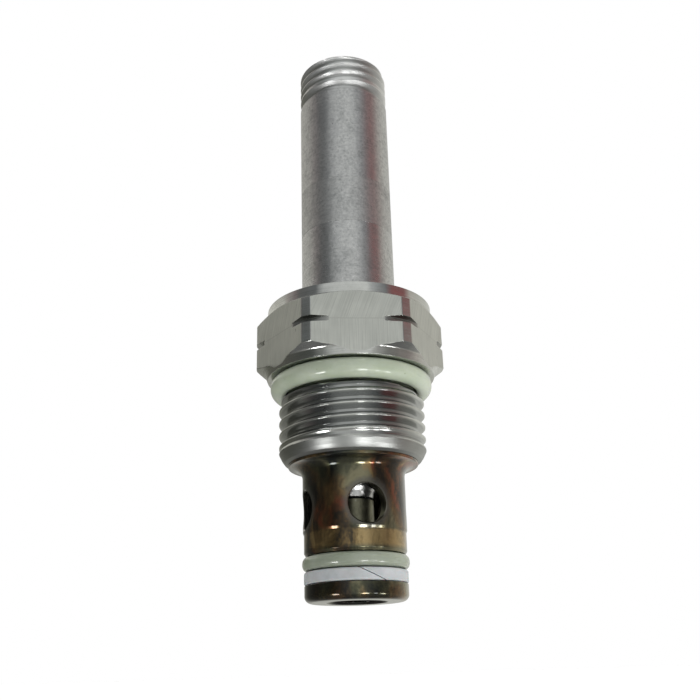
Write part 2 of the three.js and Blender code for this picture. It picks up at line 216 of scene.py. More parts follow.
def finished(name, bm, materials, sharp=SHARP):
    """A smooth object made from the bmesh, with its doubles merged and its normals out."""
    bmesh.ops.remove_doubles(bm, verts=bm.verts, dist=1e-7)
    bmesh.ops.dissolve_degenerate(bm, dist=1e-8, edges=bm.edges)
    bmesh.ops.recalc_face_normals(bm, faces=bm.faces)
    mesh = bpy.data.meshes.new(name)
    bm.to_mesh(mesh)
    bm.free()
    for material in materials:
        mesh.materials.append(material)
    mesh.shade_smooth()
    mesh.set_sharp_from_angle(angle=math.radians(sharp))
    piece = bpy.data.objects.new(name, mesh)
    bpy.context.scene.collection.objects.link(piece)
    return piece


def turned(name, outline, materials, fillet=0.06, sides=SIDES):
    """A turned piece. Its outline runs anticlockwise, and starts and ends on the axis or closes itself."""
    closed = outline[0][0] > 0
    angles = np.arange(sides) * TAU / sides
    path = rounded(outline, fillet, closed)
    bm = bmesh.new()
    wrap(bm, [ring(r, z, angles) for r, z in path], closed)
    return finished(name, bm, materials)


def cut_away(piece, cutter):
    """Takes the cutter out of the piece and deletes the cutter."""
    modifier = piece.modifiers.new("cut", "BOOLEAN")
    modifier.operation = "DIFFERENCE"
    modifier.solver = "EXACT"
    modifier.object = cutter
    graph = bpy.context.evaluated_depsgraph_get()
    mesh = bpy.data.meshes.new_from_object(piece.evaluated_get(graph))
    piece.modifiers.clear()
    old = piece.data
    piece.data = mesh
    bpy.data.meshes.remove(old)
    mesh.name = piece.name
    bpy.data.objects.remove(cutter)
    mesh.shade_smooth()
    mesh.set_sharp_from_angle(angle=math.radians(SHARP))


def box_cutter(size, matrix):
    """A box in millimetres, placed by the matrix."""
    bm = bmesh.new()
    bmesh.ops.create_cube(bm, size=1.0)
    bmesh.ops.scale(bm, vec=Vector(size) * MM, verts=bm.verts)
    bmesh.ops.transform(bm, matrix=matrix, verts=bm.verts)
    return finished("cutter", bm, [])


def placed(x, y, z):
    return Matrix.Translation(Vector((x, y, z)) * MM)


def torus(name, centre_r, half_width, half_height, height, material, flat=2.0, sag=0.0):
    """A ring. Its section is a superellipse: flat is 2 for round and more for squarer. With sag, its
    lower inner part hangs lower by that share of the section, and its upper part is fuller."""
    angles = np.arange(SIDES) * TAU / SIDES
    section = np.arange(40) * TAU / 40
    bm = bmesh.new()
    rings = []
    for t in section:
        c, s = math.cos(t), math.sin(t)
        r = centre_r + half_width * math.copysign(abs(c) ** (2 / flat), c)
        hang = 1 + sag * (1 - c) / 2 if s < 0 else 1
        fullness = flat if s < 0 else flat + 2 * sag
        z = height + half_height * math.copysign(abs(s) ** (2 / fullness), s) * hang
        rings.append(ring(r, z, angles))
    wrap(bm, rings, True)
    return finished(name, bm, [material], 60)


def coil_spring(name, coil, span, material):
    """A compression spring between two heights, with a closed coil at each end."""
    mean_r, wire_r, turns = coil["radius"], coil["wire"], coil["turns"]
    low, high = span
    closed = 0.9  # turns at each end
    end_rise = 2.05 * wire_r
    steps = turns * 48
    t = np.arange(steps + 1) / steps
    angle = TAU * turns * t
    rise = np.clip((t * turns - closed) / (turns - 2 * closed), 0, 1)
    rise = rise * rise * (3 - 2 * rise) * 0.25 + rise * 0.75
    in_ends = np.clip(t * turns, 0, closed) + np.clip(t * turns - turns + closed, 0, closed)
    ends = end_rise * in_ends / closed
    free = (high - low) - 2 * wire_r - 2 * end_rise
    height = low + wire_r + ends + free * rise
    centre = np.stack([mean_r * np.cos(angle), mean_r * np.sin(angle), height], axis=1)
    tangent = np.gradient(centre, axis=0)
    tangent /= np.linalg.norm(tangent, axis=1)[:, None]
    out = np.stack([np.cos(angle), np.sin(angle), 0 * angle], axis=1)
    up = np.cross(out, tangent)
    section = np.arange(16)[:, None] * TAU / 16
    rings = []
    for i in range(steps + 1):
        rings.append(centre[i] + wire_r * (np.cos(section) * out[i] + np.sin(section) * up[i]))
    bm = bmesh.new()
    rows = wrap(bm, rings, False)
    bm.faces.new(rows[0][::-1])
    bm.faces.new(rows[-1])
    return finished(name, bm, [material], 50)


# ---- threads -----------------------------------------------------------------------------------
RUN_IN = 1.6  # over this height the thread deepens from nothing at its foot
# The profile in shares of the pitch from the crest's middle: where the flank begins and ends, and
# half the length of the roundings there.
CREST_EDGE = 0.055
ROOT_EDGE = 0.385
CREST_FILLET = 0.024
ROOT_FILLET = 0.04
FLANK = np.concatenate(
    [
        [0],
        CREST_EDGE + CREST_FILLET * np.linspace(-1, 1, 5),
        [0.15, 0.25],
        ROOT_EDGE + ROOT_FILLET * np.linspace(-1, 1, 5),
        [0.46],
    ]
)
THREAD_KEYS = np.concatenate([FLANK, [0.5], 1 - FLANK[:0:-1]])


def eased(x, width):
    """The larger of x and 0, with a rounded corner that reaches width to each side."""
    return np.where(np.abs(x) < width, (x + width) ** 2 / (4 * width), np.maximum(x, 0))


def thread_radius(thread, phase):
    """Radius of a V thread at a phase, where 0 is the crest and 0.5 the root."""
    away = np.abs(phase - np.round(phase))
    depth = eased(away - CREST_EDGE, CREST_FILLET) - eased(away - ROOT_EDGE, ROOT_FILLET)
    depth /= ROOT_EDGE - CREST_EDGE
    return thread["crest"] - (thread["crest"] - thread["root"]) * depth


def wrap_thread(bm, thread, envelope, low, high, angles):
    """A right-hand thread between two heights, cut down to an envelope given as (r, z) points.
    The grid runs along the helix, so a column's end joins the next turn of the first column."""
    pitch = thread["pitch"]
    keys = len(THREAD_KEYS)
    turns = math.ceil((high - low) / pitch) + 3
    phase = (THREAD_KEYS[None, :] + np.arange(turns)[:, None]).ravel()
    start = math.floor(low / pitch - thread["start"]) - 1
    envelope_r = [p[0] for p in envelope]
    envelope_z = [p[1] for p in envelope]
    columns = []
    for angle in angles:
        turn = angle / TAU + thread["start"]
        inside = np.clip((phase + start + turn) * pitch, low, high)
        r = thread_radius(thread, inside / pitch - turn)
        depth_share = np.clip((inside - low - thread["lead"]) / RUN_IN, 0, 1)
        r = thread["crest"] - (thread["crest"] - r) * depth_share
        r = np.minimum(r, np.interp(inside, envelope_z, envelope_r))
        points = np.stack([r * math.cos(angle), r * math.sin(angle), inside], axis=1)
        columns.append([bm.verts.new(Vector(p) * MM) for p in points])
    rows = len(phase)
    for i, column in enumerate(columns):
        last = i == len(columns) - 1
        following = columns[0] if last else columns[i + 1]
        shift = keys if last else 0
        for j in range(rows - 1 - shift):
            corners = (column[j], following[j + shift], following[j + 1 + shift], column[j + 1])
            bm.faces.new(corners)


# ---- material helpers --------------------------------------------------------------------------
class Tree:
    """Shorthand for building a node tree. A value is a number, a colour or another node's output."""

    def __init__(self, tree):
        self.tree = tree

    def add(self, kind, **settings):
        node = self.tree.nodes.new(kind)
        for key, value in settings.items():
            setattr(node, key, value)
        return node

    def put(self, socket, value):
        if isinstance(value, bpy.types.NodeSocket):
            self.tree.links.new(value, socket)
        else:
            socket.default_value = value

    def math(self, operation, a, b=0.0):
        node = self.add("ShaderNodeMath", operation=operation)
        self.put(node.inputs[0], a)
        self.put(node.inputs[1], b)
        return node.outputs[0]

    def plus(self, a, b):
        return self.math("ADD", a, b)

    def minus(self, a, b):
        return self.math("SUBTRACT", a, b)

    def times(self, a, b):
        return self.math("MULTIPLY", a, b)

    def blend(self, *shares):
        """The sum of values, each times its share."""
        total, *others = [self.times(value, share) for value, share in shares]
        for part in others:
            total = self.plus(total, part)
        return total

    def distance(self, value, middle):
        return self.math("ABSOLUTE", self.minus(value, middle))

    def length(self, a, b):
        return self.math("SQRT", self.plus(self.times(a, a), self.times(b, b)))

    def remap(self, value, low, high, to_low=0.0, to_high=1.0):
        """Takes low to to_low and high to to_high, and stays between those two."""
        node = self.add("ShaderNodeMapRange")
        for socket, given in zip(node.inputs, (value, low, high, to_low, to_high)):
            self.put(socket, given)
        return node.outputs[0]

    def mix(self, factor, a, b):
        node = self.add("ShaderNodeMix", data_type="RGBA")
        self.put(node.inputs["Factor"], factor)
        self.put(node.inputs[6], a)
        self.put(node.inputs[7], b)
        return node.outputs[2]

    def ramp(self, value, stops):
        node = self.add("ShaderNodeValToRGB")
        elements = node.color_ramp.elements
        while len(elements) < len(stops):
            elements.new(0.5)
        for element, (position, colour) in zip(elements, stops):
            element.position = position
            element.color = (*colour, 1)
        self.put(node.inputs[0], value)
        return node.outputs[0]


class Nodes(Tree):
    """A new material, whose textures lie in its object's coordinates in millimetres."""

    def __init__(self, name):
        self.material = bpy.data.materials.new(name)
        self.material.use_nodes = True
        super().__init__(self.material.node_tree)
        self.shader = self.tree.nodes["Principled BSDF"]
        coordinates = self.add("ShaderNodeTexCoord")
        self.place = self.scaled(coordinates.outputs["Object"], (1 / MM, 1 / MM, 1 / MM))

    def scaled(self, vector, scale):
        node = self.add("ShaderNodeMapping")
        self.put(node.inputs["Vector"], vector)
        self.put(node.inputs["Scale"], scale)
        return node.outputs[0]

    def noise(self, scale, detail, rough, stretch=(1, 1, 1), distortion=0.0, place=None):
        node = self.add("ShaderNodeTexNoise")
        self.put(node.inputs["Vector"], self.scaled(place or self.place, stretch))
        self.put(node.inputs["Scale"], scale)
        self.put(node.inputs["Detail"], detail)
        self.put(node.inputs["Roughness"], rough)
        self.put(node.inputs["Distortion"], distortion)
        return node.outputs["Fac"]

    def xyz(self):
        node = self.add("ShaderNodeSeparateXYZ")
        self.put(node.inputs[0], self.place)
        return node.outputs

    def bump(self, height, strength, distance):
        node = self.add("ShaderNodeBump")
        self.put(node.inputs["Strength"], strength)
        self.put(node.inputs["Distance"], distance * MM)
        self.put(node.inputs["Height"], height)
        return node.outputs[0]

    def set(self, **values):
        for key, value in values.items():
            self.put(self.shader.inputs[key.replace("_", " ")], value)


def grey(value):
    return (value, value, value, 1)


# ---- materials ---------------------------------------------------------------------------------
def tube_steel(name, smooth, dull):
    """Satin turned steel with speckle, smudges, faint rings, pits and the scratches of handling. Its
    thread is painted brighter, a painted sheen as well as polish, with painted shade in its roots. It is
    as rough as smooth says where it is pale, else as dull."""
    n = Nodes(name)
    x, y, z = n.xyz()
    rings = n.noise(1.0, 3, 0.6, (0.15, 0.15, 9.0))
    speckle = n.noise(2.4, 8, 0.76)
    smudge = n.noise(0.45, 6, 0.64, (1, 1, 0.7), 0.6)
    pits = n.remap(n.noise(1.9, 4, 0.65), 0.68, 0.73)
    scratch = n.remap(n.noise(1.0, 2, 0.5, (4.5, 4.5, 0.35), 0.5), 0.70, 0.76)
    hair = n.remap(n.noise(1.0, 2, 0.5, (0.5, 0.5, 7.0), 0.8), 0.70, 0.77)
    tone = n.blend((rings, 0.15), (speckle, 0.55), (smudge, 0.30))
    steels = [(0.38, (0.42, 0.43, 0.43)), (0.50, (0.64, 0.645, 0.64)), (0.62, (0.84, 0.84, 0.83))]
    colour = n.ramp(tone, steels)
    colour = n.mix(n.remap(smudge, 0.52, 0.66, 0.0, 0.35), colour, (0.34, 0.35, 0.36, 1))
    colour = n.mix(n.times(n.math("MAXIMUM", scratch, hair), 0.35), colour, grey(0.30))
    colour = n.mix(pits, colour, grey(0.10))
    threaded = n.remap(z, SHOULDER, SHOULDER + 0.3)
    # Painted sheen: the thread's colour is lifted almost to white, standing in for bright reflections as
    # well as polish.
    colour = n.mix(n.times(threaded, 0.8), colour, (0.96, 0.97, 0.96, 1))
    crest = COIL_THREAD["crest"]
    # Painted shade: the thread turns darker towards its roots.
    root = n.times(n.remap(n.length(x, y), crest - 0.1, crest - 0.4), threaded)
    colour = n.mix(n.times(root, 0.35), colour, grey(0.40))
    height = n.minus(n.blend((rings, 0.4), (speckle, 0.8)), n.plus(pits, n.times(scratch, 0.4)))
    n.set(Base_Color=colour, Metallic=1.0)
    n.set(Roughness=n.remap(tone, 0.40, 0.60, dull, smooth))
    n.set(Normal=n.bump(height, 0.6, 0.014))
    return n.material


def turned_zinc():
    """Bright zinc-plated turned surface, a little green, with fine rings. The cone at the thread's foot is
    scuffed.
    Painted shade darkens the thread below its crests, the cone, to dim its reflections, and the hexagon's
    groove."""
    n = Nodes("turned_zinc")
    x, y, z = n.xyz()
    rings = n.noise(1.0, 3, 0.6, (0.1, 0.1, 12.0))
    cloud = n.noise(0.5, 4, 0.6)
    dents = n.noise(0.45, 2, 0.5)
    tone = n.blend((rings, 0.5), (cloud, 0.5))
    colour = n.ramp(tone, [(0.35, (0.58, 0.59, 0.565)), (0.65, (0.80, 0.81, 0.78))])
    threaded = n.remap(z, NECK_RING[0], NECK_RING[0] - 0.2)
    deep = n.remap(n.length(x, y), BODY_THREAD["crest"] - 0.04, BODY_THREAD["crest"] - 0.3)
    above_cone = n.remap(z, CONE_TOP + 0.05, CONE_TOP + 0.25)
    # Painted shade: the thread is darker below its crests.
    flank = n.times(n.times(deep, threaded), above_cone)
    colour = n.mix(n.times(flank, 0.75), colour, (0.36, 0.37, 0.37, 1))
    # Painted shade: the cone at the thread's foot is darkened to dim its reflections.
    cone = n.remap(z, CONE_TOP + 0.05, CONE_TOP - 0.05, 0.0, 0.75)
    colour = n.mix(cone, colour, (0.36, 0.37, 0.36, 1))
    half_width = (HEX_GROOVE[1] - HEX_GROOVE[0]) / 2
    # Painted shade: the hexagon's groove is coloured dark.
    painted_groove_shade = n.remap(n.distance(z, sum(HEX_GROOVE) / 2), half_width + 0.03, half_width - 0.03)
    colour = n.mix(n.times(painted_groove_shade, 0.5), colour, (0.14, 0.14, 0.13, 1))
    scuffed = n.remap(z, CONE_TOP + 0.15, CONE_TOP - 0.05, 0.0, 0.20)
    polished = n.remap(z, COLLAR_FOOT - 0.1, COLLAR_FOOT, 0.0, 0.07)
    roughness = n.plus(n.remap(tone, 0.35, 0.65, 0.22, 0.12), scuffed)
    n.set(Base_Color=colour, Metallic=1.0, Roughness=n.minus(roughness, polished))
    n.set(Normal=n.bump(n.plus(rings, n.times(dents, 6.0)), 0.35, 0.01))
    return n.material


def milled_zinc():
    """Milled hexagon flats: the cutter left steep fine lines below the groove and slanting ones above,
    with a faint line where they meet and a few knocks."""
    n = Nodes("milled_zinc")
    x, y, z = n.xyz()
    meeting = sum(HEX_GROOVE) / 2
    above = n.remap(z, meeting - 0.05, meeting + 0.05)
    across = n.times(n.math("ARCTAN2", y, x), HEX_APOTHEM)
    track = n.plus(across, n.times(n.times(above, -0.35), z))
    place = n.add("ShaderNodeCombineXYZ")
    n.put(place.inputs[0], n.times(track, 7.0))
    n.put(place.inputs[1], n.times(z, 0.16))
    lines = n.noise(1.0, 3, 0.5, place=place.outputs[0])
    tone = n.blend((lines, 0.6), (n.noise(0.3, 4, 0.6), 0.4))
    colour = n.ramp(tone, [(0.34, (0.60, 0.615, 0.575)), (0.66, (0.78, 0.795, 0.745))])
    seam = n.remap(n.distance(z, meeting), 0.09, 0.02, 0.0, 0.25)
    colour = n.mix(seam, colour, (0.35, 0.36, 0.33, 1))
    knocks = n.remap(n.noise(1.0, 3, 0.55, (1.6, 1.6, 0.7), 0.5), 0.72, 0.77)
    colour = n.mix(n.times(knocks, 0.6), colour, (0.15, 0.15, 0.14, 1))
    n.set(Base_Color=colour, Metallic=1.0, Roughness=0.46)
    n.set(Normal=n.bump(n.minus(lines, knocks), 0.4, 0.015))
    return n.material


def tempered_steel():
    """Oily heat-treated steel: near black and brown, with rust and olive patches, a gold land above the
    nose seals, grey halos round the cross holes and a bore painted near black as shade. One side is
    painted lighter and warmer and the far side darker: painted light and shade along with the tempering
    colours."""
    n = Nodes("tempered_steel")
    x, y, z = n.xyz()
    angle = n.math("ARCTAN2", y, x)
    # Painted light and shade: lighter and warmer towards one side, darker on the far side, besides the
    # tempering colours.
    lit_and_warm = n.math("COSINE", n.minus(angle, LIT_AND_WARM_SIDE))
    patches = n.noise(0.26, 5, 0.6, (1, 1, 0.45), 0.5)
    tint = n.noise(0.18, 3, 0.5, (1, 1, 0.6), 0.4)
    fine = n.noise(2.4, 6, 0.7)
    tone = n.blend((patches, 0.80), (fine, 0.20), (lit_and_warm, 0.07))
    browns = [
        (0.44, (0.014, 0.011, 0.008)),
        (0.51, (0.050, 0.034, 0.016)),
        (0.58, (0.15, 0.088, 0.034)),
        (0.66, (0.32, 0.21, 0.086)),
    ]
    olives = [(0.44, (0.010, 0.014, 0.011)), (0.56, (0.085, 0.085, 0.045)), (0.66, (0.24, 0.22, 0.13))]
    golds = [(0.46, (0.03, 0.022, 0.010)), (0.54, (0.26, 0.17, 0.065)), (0.62, (0.50, 0.35, 0.15))]
    colour = n.mix(n.remap(tint, 0.48, 0.56), n.ramp(tone, browns), n.ramp(tone, olives))
    rust = n.times(n.remap(tint, 0.44, 0.38), n.remap(tone, 0.48, 0.58))
    colour = n.mix(rust, colour, (0.22, 0.06, 0.025, 1))
    above_lip = n.remap(z, SEAL_LIP, SEAL_LIP + 0.5)
    below_band = n.remap(z, WINDOW_BAND[0] - 0.05, WINDOW_BAND[0] - 0.35)
    land = n.times(above_lip, below_band)
    colour = n.mix(n.times(land, 0.8), colour, n.ramp(tone, golds))
    from_hole = n.math("PINGPONG", n.distance(angle, CROSS_HOLE_TURN), math.pi / 4)
    away = n.length(n.times(from_hole, WINDOW_BAND_R), n.minus(z, CROSS_HOLE))
    halo = n.remap(n.plus(away, n.minus(fine, 0.5)), CROSS_HOLE_R + 1.0, CROSS_HOLE_R + 0.4)
    colour = n.mix(n.times(halo, 0.75), colour, (0.12, 0.115, 0.105, 1))
    # Painted shade: inside the skin, above the seat, the bore is coloured near black.
    below_skin = n.remap(n.length(x, y), LAND_R - 0.5, LAND_R - 0.9)
    inside = n.times(below_skin, n.remap(z, SEAT - 1.0, SEAT))
    colour = n.mix(n.times(inside, 0.8), colour, (0.010, 0.010, 0.009, 1))
    n.set(Base_Color=colour, Metallic=0.9, Roughness=n.remap(fine, 0.3, 0.7, 0.24, 0.14))
    n.set(Coat_Weight=0.95, Coat_Roughness=0.04, Coat_IOR=1.45)
    n.set(Normal=n.bump(fine, 0.14, 0.01))
    return n.material


def ground_steel():
    """Bright steel with the fine rings of grinding."""
    n = Nodes("ground_steel")
    rings = n.noise(1.0, 3, 0.6, (0.1, 0.1, 14.0))
    colour = n.ramp(rings, [(0.3, (0.58, 0.58, 0.56)), (0.7, (0.76, 0.76, 0.74))])
    n.set(Base_Color=colour, Metallic=1.0, Roughness=n.remap(rings, 0.3, 0.7, 0.24, 0.14))
    n.set(Normal=n.bump(rings, 0.3, 0.006))
    return n.material


def poppet_steel():
    """Bright ground cone above a groove painted black as shade, and an oil-stained olive land with specks
    below it.
    """
    n = Nodes("poppet_steel")
    z = n.xyz()[2]
    stain = n.noise(1.4, 4, 0.6, (1, 1, 0.5))
    specks = n.remap(n.noise(3.5, 3, 0.6), 0.62, 0.68)
    oxide = n.ramp(stain, [(0.35, (0.16, 0.155, 0.11)), (0.65, (0.30, 0.295, 0.21))])
    oxide = n.mix(n.times(specks, 0.6), oxide, (0.55, 0.54, 0.45, 1))
    above = n.remap(z, POPPET_GROOVE[1] - 0.02, POPPET_GROOVE[1] + 0.05)
    colour = n.mix(above, oxide, (0.66, 0.66, 0.65, 1))
    # Painted shade: the groove is coloured near black.
    groove = n.remap(n.distance(z, sum(POPPET_GROOVE) / 2), 0.17, 0.13)
    n.set(Base_Color=n.mix(groove, colour, (0.012, 0.012, 0.010, 1)), Metallic=0.95)
    n.set(Roughness=n.remap(above, 0, 1, 0.42, 0.30))
    n.set(Normal=n.bump(n.noise(1.0, 3, 0.6, (0.2, 0.2, 10.0)), 0.2, 0.004))
    return n.material


def wire_steel():
    """Drawn spring wire."""
    n = Nodes("wire_steel")
    drawn = n.noise(4.0, 4, 0.6)
    colour = n.ramp(drawn, [(0.3, (0.30, 0.30, 0.31)), (0.7, (0.48, 0.48, 0.49))])
    n.set(Base_Color=colour, Metallic=1.0)
    n.set(Roughness=n.remap(drawn, 0.3, 0.7, 0.38, 0.26), Normal=n.bump(drawn, 0.2, 0.01))
    return n.material


def bronze():
    """Dull turned bronze."""
    n = Nodes("bronze")
    cloud = n.noise(1.2, 5, 0.6)
    colour = n.ramp(cloud, [(0.3, (0.42, 0.27, 0.12)), (0.7, (0.66, 0.48, 0.25))])
    n.set(Base_Color=colour, Metallic=1.0)
    n.set(Roughness=n.remap(cloud, 0.3, 0.7, 0.42, 0.28), Normal=n.bump(cloud, 0.2, 0.01))
    return n.material


def seal_rubber(name, shade):
    """Pale green polyurethane: glossy, faintly cloudy, slightly translucent, a few specks of dirt."""
    n = Nodes(name)
    cloud = n.noise(0.4, 4, 0.6)
    dirt = n.remap(n.noise(2.2, 3, 0.6), 0.68, 0.74)
    deep = Vector((0.52, 0.60, 0.45)) * shade
    pale = Vector((0.64, 0.71, 0.575)) * shade
    colour = n.ramp(cloud, [(0.3, deep), (0.7, pale)])
    colour = n.mix(n.times(dirt, 0.5), colour, (0.16, 0.18, 0.11, 1))
    n.set(Base_Color=colour, Roughness=0.30, IOR=1.5)
    n.set(Subsurface_Weight=0.3, Subsurface_Scale=0.7 * MM, Subsurface_Radius=(1.0, 1.0, 0.6))
    n.set(Coat_Weight=1.0, Coat_Roughness=0.03)
    n.set(Normal=n.bump(n.noise(2.5, 4, 0.6), 0.06, 0.02))
    return n.material


def ptfe():
    """Waxy white plastic."""
    n = Nodes("ptfe")
    cloud = n.noise(0.8, 4, 0.6)
    n.set(Base_Color=n.ramp(cloud, [(0.3, (0.37, 0.39, 0.40)), (0.7, (0.46, 0.48, 0.495))]))
    n.set(Roughness=0.42, Subsurface_Weight=0.15, Subsurface_Scale=0.5 * MM)
    n.set(Normal=n.bump(n.noise(5.0, 4, 0.6), 0.15, 0.01))
    return n.material


# ---- pieces ------------------------------------------------------------------------------------
def hex_columns():
    """Angles round the body, closer together beside the six corners."""
    near = np.linspace(-6, 6, 30, endpoint=False)
    far = np.linspace(6, 54, 50, endpoint=False)
    sector = np.radians(np.concatenate([near, far]))
    return np.concatenate([sector + k * math.pi / 3 + HEX_TURN for k in range(6)])


def soft_min(a, b, width):
    """The smaller of a and b, rounded where they cross."""
    blend_share = np.maximum(width - np.abs(a - b), 0) / width
    return np.minimum(a, b) - blend_share**2 * width / 4


def make_adapter(milled, turned_metal):
    """Thread, O-ring neck, hexagon and collar as one skin, with the socket for tube and cage inside."""
    angles = hex_columns()
    corner = (angles - HEX_TURN + math.pi / 6) % (math.pi / 3) - math.pi / 6
    flat_r = HEX_APOTHEM / np.cos(math.pi / 6 - np.abs(corner))
    thread_top = NECK_RING[0] - 0.2
    tube_hole = TUBE_R + GAP
    inside_top = COLLAR_TOP - 1.2
    envelope = [
        (CONE_R, CONE_FOOT),
        (BODY_THREAD["crest"], CONE_TOP),
        (BODY_THREAD["crest"], thread_top - 0.7),
        (NECK_R, thread_top),
    ]
    outer = [
        (NECK_R, thread_top),
        (NECK_R, RIM + 0.05, 0.1),
        (RIM_INNER, RIM + 0.05, 0.02),
        (RIM_INNER, RIM, 0.01),
        (COLLAR_R, RIM, 0.06),
        (COLLAR_R + 0.15, RIM + 0.4, 0.1),
        (COLLAR_R + 0.35, RIM + 1.05, 0.62),
        (HEX_CORNER, HEX_STRIP[0], 0.12),
        (HEX_CORNER, HEX_GROOVE[0], 0.05),
        (HEX_GROOVE_R, HEX_GROOVE[0] + 0.12, 0.1),
        (HEX_GROOVE_R, HEX_GROOVE[1] - 0.12, 0.1),
        (HEX_CORNER, HEX_GROOVE[1], 0.05),
        (HEX_CORNER, HEX_STRIP[1], 0.12),
        (COLLAR_R, COLLAR_FOOT, 0.05),
        (COLLAR_R, COLLAR_TOP, 0.07),
        (tube_hole + 0.25, COLLAR_TOP, 0.05),
        (tube_hole, COLLAR_TOP - 0.25, 0.05),
        (tube_hole, inside_top),
    ]
    inner = [
        (tube_hole, inside_top),
        (tube_hole, TUBE_SEAL_GROOVE["high"]),
        (TUBE_SEAL_GROOVE["floor"], TUBE_SEAL_GROOVE["high"]),
        (TUBE_SEAL_GROOVE["floor"], TUBE_SEAL_GROOVE["low"]),
        (tube_hole, TUBE_SEAL_GROOVE["low"]),
        (tube_hole, TUBE_FLANGE + 0.1),
        (BORE_R, TUBE_FLANGE + 0.1),
        (BORE_R, LOCK_GROOVE["high"]),
        (LOCK_GROOVE["outer"], LOCK_GROOVE["high"]),
        (LOCK_GROOVE["outer"], LOCK_GROOVE["low"]),
        (BORE_R, LOCK_GROOVE["low"]),
        (BORE_R, ADAPTER_FOOT + 0.12),
        (BORE_R + 0.15, ADAPTER_FOOT, 0.02),
        (FOOT_R, ADAPTER_FOOT, 0.06),
        (FOOT_R + 0.43, ADAPTER_FOOT + 0.26, 0.2),
        (CONE_R, CONE_FOOT),
    ]
    rings = []
    for r, z in divided(rounded(outer, 0.03, False), 0.09):
        radius = soft_min(np.full(angles.shape, r), flat_r, 0.07) if r > HEX_APOTHEM - 0.07 else r
        rings.append(ring(radius, z, angles))
    bm = bmesh.new()
    wrap_thread(bm, BODY_THREAD, envelope, CONE_FOOT, thread_top, angles)
    wrap(bm, rings, False)
    wrap(bm, [ring(r, z, angles) for r, z in rounded(inner, 0.04, False)], False)
    piece = finished("hex_body", bm, [turned_metal, milled], 24)
    for polygon in piece.data.polygons:
        c = polygon.center
        if not RIM * MM < c.z < COLLAR_FOOT * MM:
            continue
        turn = (math.atan2(c.y, c.x) - HEX_TURN) % (math.pi / 3) - math.pi / 6
        on_flat = abs(math.hypot(c.x, c.y) * math.cos(turn) - HEX_APOTHEM * MM) < 0.02 * MM
        polygon.material_index = 1 if on_flat else 0
    return piece


def hole_cutter(turn):
    """A drill for one cross hole, with a cone that breaks the hole's outer edge evenly."""
    inner_end = 1.2
    chamfer = 0.16
    flare = 1.0
    sides = 96
    t = np.arange(sides) * TAU / sides
    c, s = math.cos(turn), math.sin(turn)
    rows = []
    for radius, offset, on_surface in (
        (CROSS_HOLE_R, inner_end, False),
        (CROSS_HOLE_R, -chamfer, True),
        (CROSS_HOLE_R + chamfer, 0.0, True),
        (CROSS_HOLE_R + chamfer + flare, flare, True),
    ):
        side = radius * np.cos(t)
        up = radius * np.sin(t) + CROSS_HOLE
        surface = np.sqrt(np.maximum(WINDOW_BAND_R**2 - side**2, 4.0))
        out = surface + offset if on_surface else np.full(sides, offset)
        rows.append(np.stack([c * out - s * side, s * out + c * side, up], axis=1))
    bm = bmesh.new()
    made = wrap(bm, rows, False)
    bm.faces.new(made[0])
    bm.faces.new(made[-1])
    return finished("cutter", bm, [])


def arc(centre, radius, start, end, steps):
    """Outline points of an arc between two angles in degrees."""
    angles = np.radians(np.linspace(start, end, steps))
    r = centre[0] + radius * np.cos(angles)
    z = centre[1] + radius * np.sin(angles)
    return [(float(a), float(b), 0.0) for a, b in zip(r, z)]


def make_cage(metal):
    """Nose sleeve with four cross holes."""
    groove_low, groove_high = BACKUP[0] - 0.08, NOSE_RING[1] + 0.05
    nose_radius = LAND_R - NOSE_FACE_R
    flare_radius = FLANGE_FOOT - WINDOW_BAND[1]
    outline = [
        (NOSE_BORE + 0.3, 0, 0.05),
        *arc((NOSE_FACE_R, nose_radius), nose_radius, -90, 0, 10),
        (LAND_R, groove_low, 0.08),
        (SEAL_FLOOR, groove_low, 0.15),
        (SEAL_FLOOR, groove_high, 0.15),
        (LAND_R - 0.2, groove_high, 0.05),
        (LAND_R, groove_high + 0.35, 0.1),
        (LAND_R, WINDOW_BAND[0] - 0.15, 0.04),
        (WINDOW_BAND_R, WINDOW_BAND[0] + 0.15, 0.06),
        *arc((WINDOW_BAND_R + flare_radius, WINDOW_BAND[1]), flare_radius, 180, 90, 12),
        (FLANGE_R, FLANGE_FOOT, 0.08),
        (FLANGE_R, ADAPTER_FOOT - 0.02, 0.05),
        (SOCKET_R, ADAPTER_FOOT - 0.02),
        (SOCKET_R, CAGE_SEAL_GROOVE["low"]),
        (CAGE_SEAL_GROOVE["floor"], CAGE_SEAL_GROOVE["low"]),
        (CAGE_SEAL_GROOVE["floor"], CAGE_SEAL_GROOVE["high"]),
        (SOCKET_R, CAGE_SEAL_GROOVE["high"]),
        (SOCKET_R, LOCK_GROOVE["low"]),
        (LOCK_GROOVE["inner"], LOCK_GROOVE["low"]),
        (LOCK_GROOVE["inner"], LOCK_GROOVE["high"]),
        (SOCKET_R, LOCK_GROOVE["high"]),
        (SOCKET_R - 0.2, CAGE_TOP),
        (CHAMBER_R, CAGE_TOP, 0.2),
        (CHAMBER_R, SEAT + 0.5, 0.2),
        (SEAT_R + 0.4, SEAT + 0.4, 0.05),
        (SEAT_R, SEAT, 0.02),
        (SEAT_R, SEAT - 0.8, 0.05),
        (NOSE_BORE, SEAT - 1.4, 0.1),
        (NOSE_BORE, 0.3, 0.05),
    ]
    piece = turned("nose_sleeve", outline, [metal])
    for quarter in range(4):
        cut_away(piece, hole_cutter(CROSS_HOLE_TURN + quarter * math.pi / 2))
    return piece


